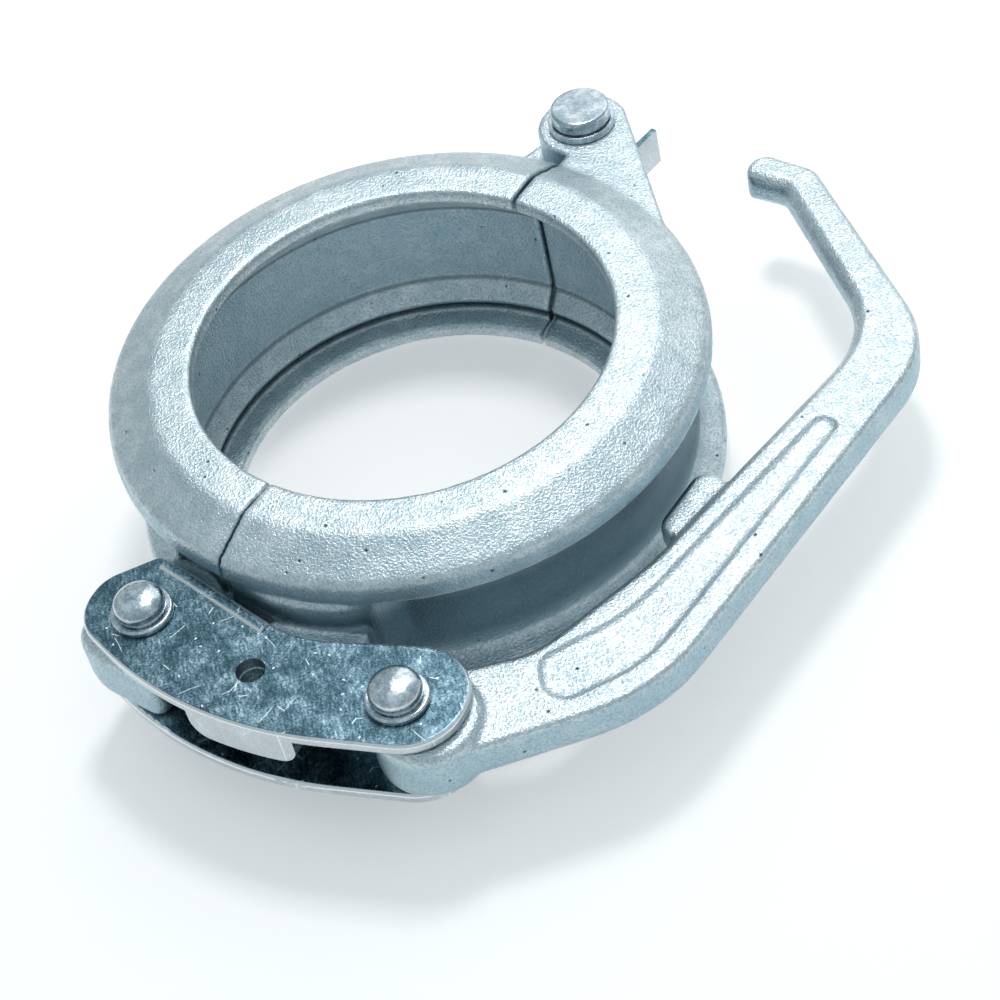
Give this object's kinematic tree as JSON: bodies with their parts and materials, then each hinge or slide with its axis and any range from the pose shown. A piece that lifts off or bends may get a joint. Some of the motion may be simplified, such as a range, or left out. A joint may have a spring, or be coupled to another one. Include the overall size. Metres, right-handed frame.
{
  "type": "quick-release pipe clamp",
  "caption": "Hinged split-ring clamp for concrete delivery pipe, closed by an over-centre lever that pulls link plates across the joint.",
  "frame": {"origin": "on the axis of the pipe bore, at the ring's middle plane", "axes": "+Z along the bore axis, upwards as the clamp lies in the picture; +X towards the lever's grip; the hinge pin stands at 49 degrees from +X towards +Y"},
  "size_m": [0.2729, 0.2476, 0.0683],
  "materials": {
    "cast_shell": "bright zinc over a rough cast surface",
    "cast_lever": "bright zinc over a rough cast surface",
    "sheet_steel": "zinc-plated sheet, finely scratched",
    "pin_steel": "smooth bright zinc"
  },
  "bodies": {
    "right_half": {"right_shell": "cast_shell", "hinge_pin": "pin_steel", "hinge_washer_top": "pin_steel", "hinge_washer_bottom": "pin_steel", "side_ear": "sheet_steel"},
    "left_half": {"left_shell": "cast_shell"},
    "link": {"upper_link_plate": "sheet_steel", "lower_link_plate": "sheet_steel", "shell_link_pin": "pin_steel", "lever_link_pin": "pin_steel", "shell_pin_collar_top": "pin_steel", "shell_pin_collar_bottom": "pin_steel", "lever_pin_collar_top": "pin_steel", "lever_pin_collar_bottom": "pin_steel"},
    "handle": {"lever": "cast_lever"}
  },
  "joints": [
    {"name": "shell_hinge", "type": "hinge", "parent": "right_half", "child": "left_half", "pos_m": [0.07532, 0.08664, 0], "axis": [0, 0, -1], "range_deg": [0, 50]},
    {"name": "link_swing", "type": "hinge", "parent": "left_half", "child": "link", "pos_m": [-0.09369, -0.06857, 0], "axis": [0, 0, -1], "range_deg": [0, 180]},
    {"name": "lever_swing", "type": "hinge", "parent": "link", "child": "handle", "pos_m": [-0.02403, -0.12481, 0], "axis": [0, 0, -1], "range_deg": [0, 110]}
  ],
  "couplings": [
    {"joint": "link_swing", "follows": "shell_hinge", "ratio": 3.6},
    {"joint": "lever_swing", "follows": "shell_hinge", "ratio": 2.2}
  ]
}
